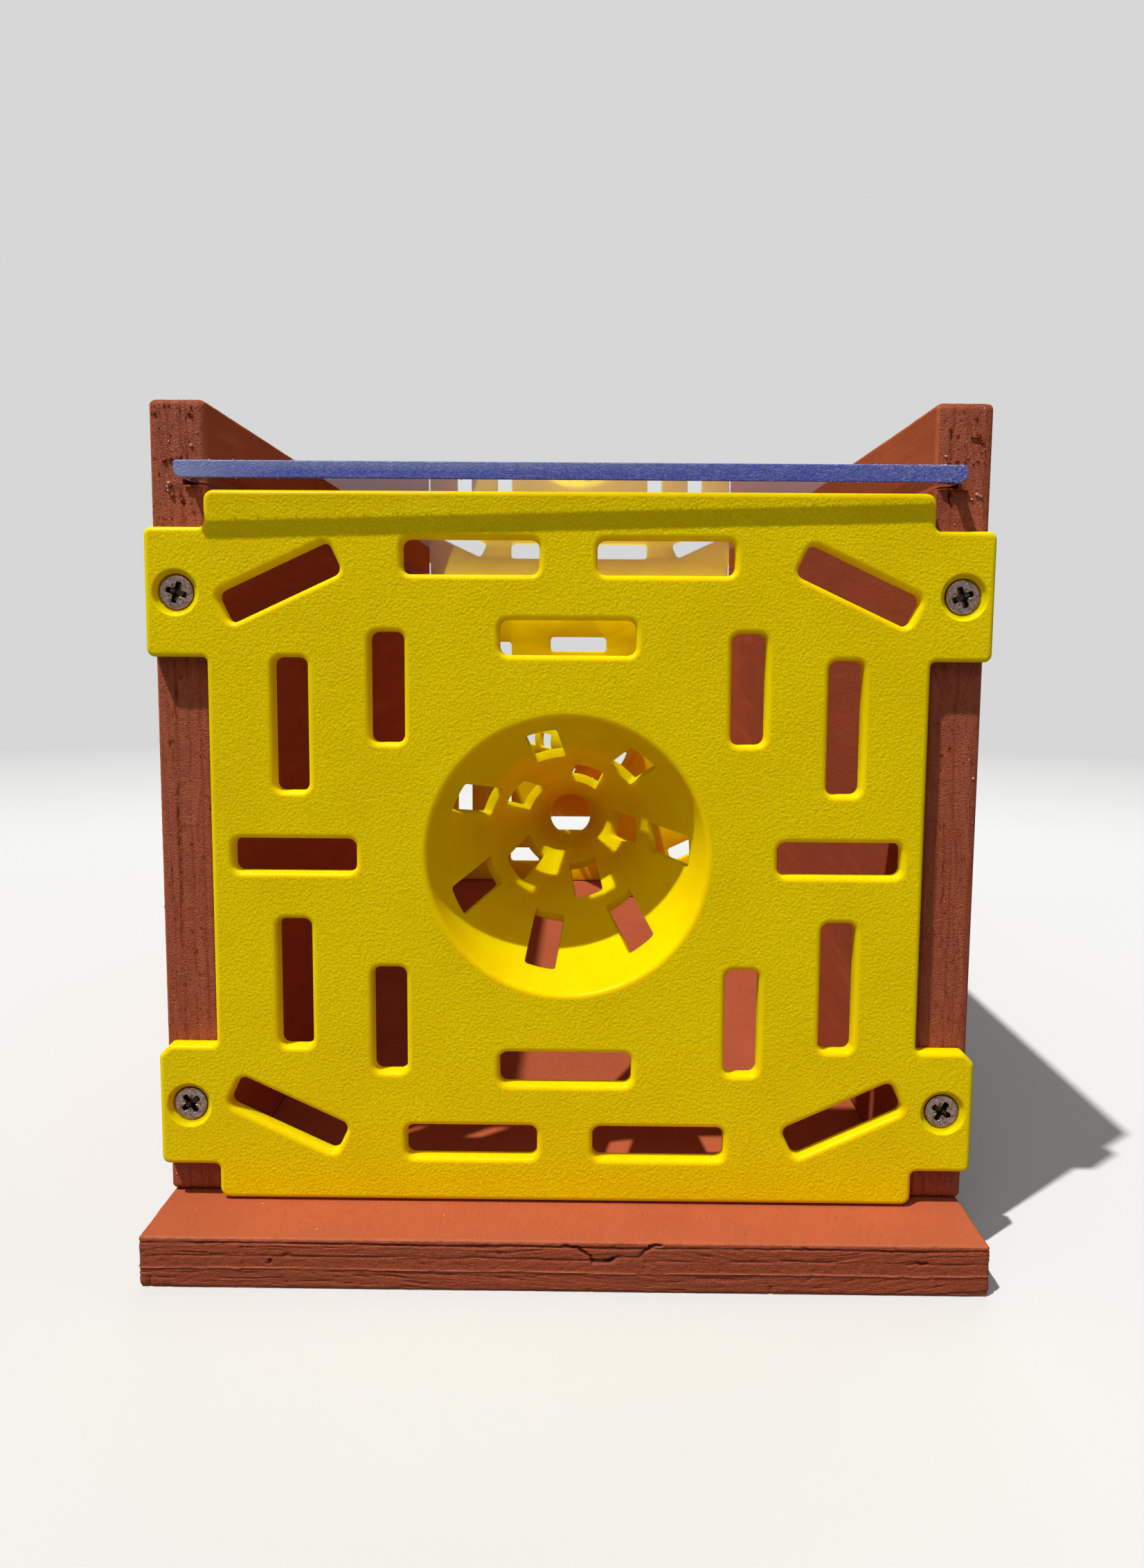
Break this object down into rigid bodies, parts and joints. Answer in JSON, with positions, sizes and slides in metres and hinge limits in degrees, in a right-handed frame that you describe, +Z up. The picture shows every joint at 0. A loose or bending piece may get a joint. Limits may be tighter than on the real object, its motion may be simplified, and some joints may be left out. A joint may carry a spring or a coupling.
{
  "type": "hornet trap",
  "caption": "Box trap with a funnel entrance plate on each end, escape slots, a landing ledge and a transparent lid that slides in grooves.",
  "frame": {"origin": "centre of the base board's underside", "axes": "+Z up, -Y out of the front entrance, +X to the right as seen from the front"},
  "size_m": [0.15, 0.35, 0.1556],
  "materials": {
    "paint": "brushed rust-red paint on plywood",
    "yellow_plastic": "spark-eroded moulded grain",
    "lid_plastic": "clear blue-tinted sheet with sawn edges",
    "screw_steel": "yellow-passivated zinc, weathered"
  },
  "bodies": {
    "box": {"base_board": "paint", "left_side_board": "paint", "right_side_board": "paint", "front_entrance_plate": "yellow_plastic", "rear_entrance_plate": "yellow_plastic", "front_screw_upper_left": "screw_steel", "front_screw_upper_right": "screw_steel", "front_screw_lower_left": "screw_steel", "front_screw_lower_right": "screw_steel", "rear_screw_upper_left": "screw_steel", "rear_screw_upper_right": "screw_steel", "rear_screw_lower_left": "screw_steel", "rear_screw_lower_right": "screw_steel", "base_screw_left_1": "screw_steel", "base_screw_left_2": "screw_steel", "base_screw_left_3": "screw_steel", "base_screw_right_1": "screw_steel", "base_screw_right_2": "screw_steel", "base_screw_right_3": "screw_steel"},
    "lid": {"lid_sheet": "lid_plastic"}
  },
  "joints": [
    {"name": "lid_slide", "type": "slide", "parent": "box", "child": "lid", "axis": [0, -1, 0], "range_m": [-0.29, 0.29]}
  ]
}
